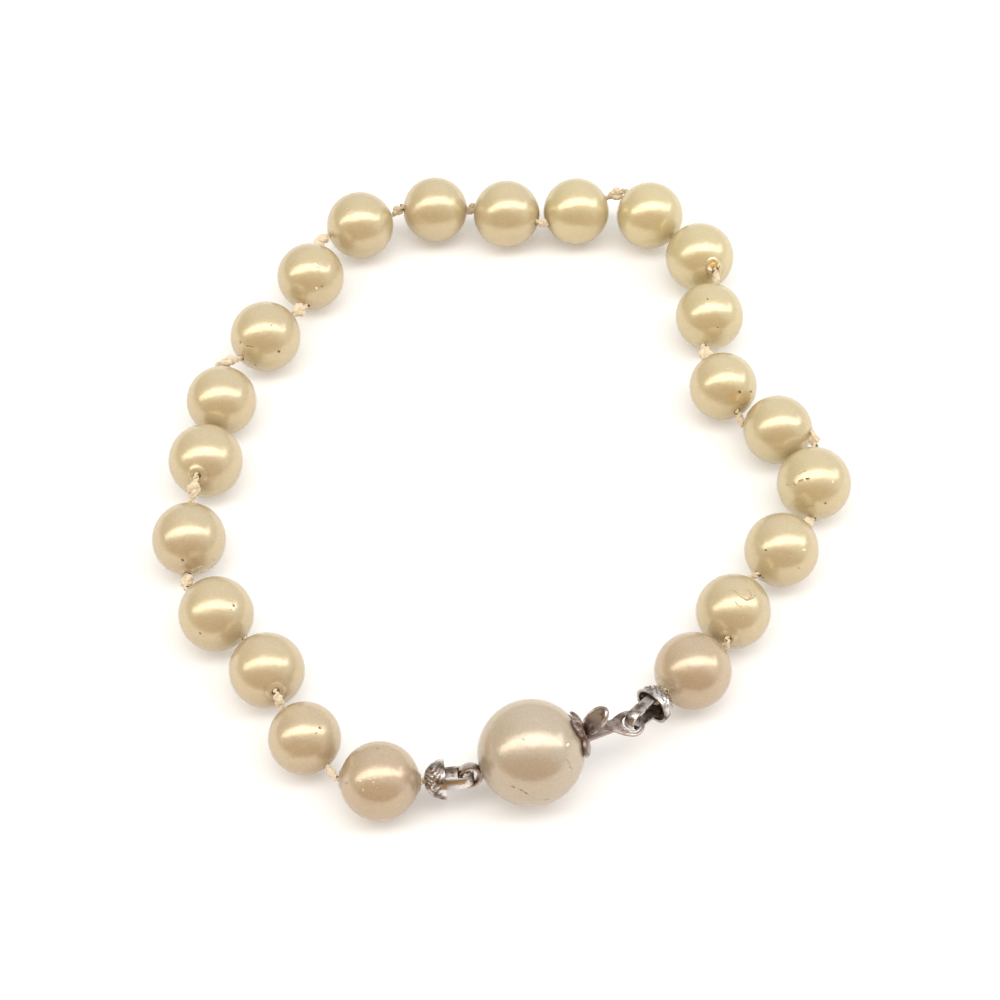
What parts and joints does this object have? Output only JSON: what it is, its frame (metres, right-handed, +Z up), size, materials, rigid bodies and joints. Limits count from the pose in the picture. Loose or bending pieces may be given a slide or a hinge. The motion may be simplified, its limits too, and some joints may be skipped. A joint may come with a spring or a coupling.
{
  "type": "pearl bracelet",
  "caption": "Knotted string of cream pearls closed by a snap clasp set in a larger pearl, with engraved silver-tone bead cups.",
  "frame": {"origin": "centre of the bracelet's bounding box, on the table it lies on", "axes": "+Z up from the table, -Y towards the clasp, +X to the right when the clasp is nearest the viewer"},
  "size_m": [0.0674, 0.0746, 0.0096],
  "materials": {
    "small_pearl": "satin nacre coating, cream with a golden tint, small dark pits",
    "clasp_pearl": "glossy nacre coating, paler and pinker than the others, lightly scratched",
    "silver_engraved": "silver-tone plate, diamond-cut facets, tarnish in the cuts",
    "silver_worn": "silver-tone plate, polished, worn to warm grey with dark tarnish",
    "silk": "twisted cream silk, knotted"
  },
  "bodies": {
    "root": {"pearl_01": "small_pearl", "pearl_02": "small_pearl", "pearl_03": "small_pearl", "pearl_04": "small_pearl", "pearl_05": "small_pearl", "pearl_06": "small_pearl", "pearl_07": "small_pearl", "pearl_08": "small_pearl", "pearl_09": "small_pearl", "pearl_10": "small_pearl", "pearl_11": "small_pearl", "pearl_12": "small_pearl", "pearl_13": "small_pearl", "pearl_14": "small_pearl", "pearl_15": "small_pearl", "pearl_16": "small_pearl", "pearl_17": "small_pearl", "pearl_18": "small_pearl", "pearl_19": "small_pearl", "pearl_20": "small_pearl", "pearl_21": "small_pearl", "pearl_22": "small_pearl", "clasp_pearl": "clasp_pearl", "clasp_socket": "silver_worn", "clasp_eye_ring": "silver_worn", "clasp_tongue": "silver_worn", "bead_cup_left": "silver_engraved", "bead_cup_right": "silver_engraved", "silk_thread": "silk"},
    "thumb_lever": {"thumb_lever": "silver_worn"}
  },
  "joints": [
    {"name": "thumb_press", "type": "hinge", "parent": "root", "child": "thumb_lever", "pos_m": [0.00039, -0.03209, 0.00409], "axis": [-0.284, 0.9588, 0], "range_deg": [0, 4], "stiffness_Nm_per_rad": 0.01}
  ]
}
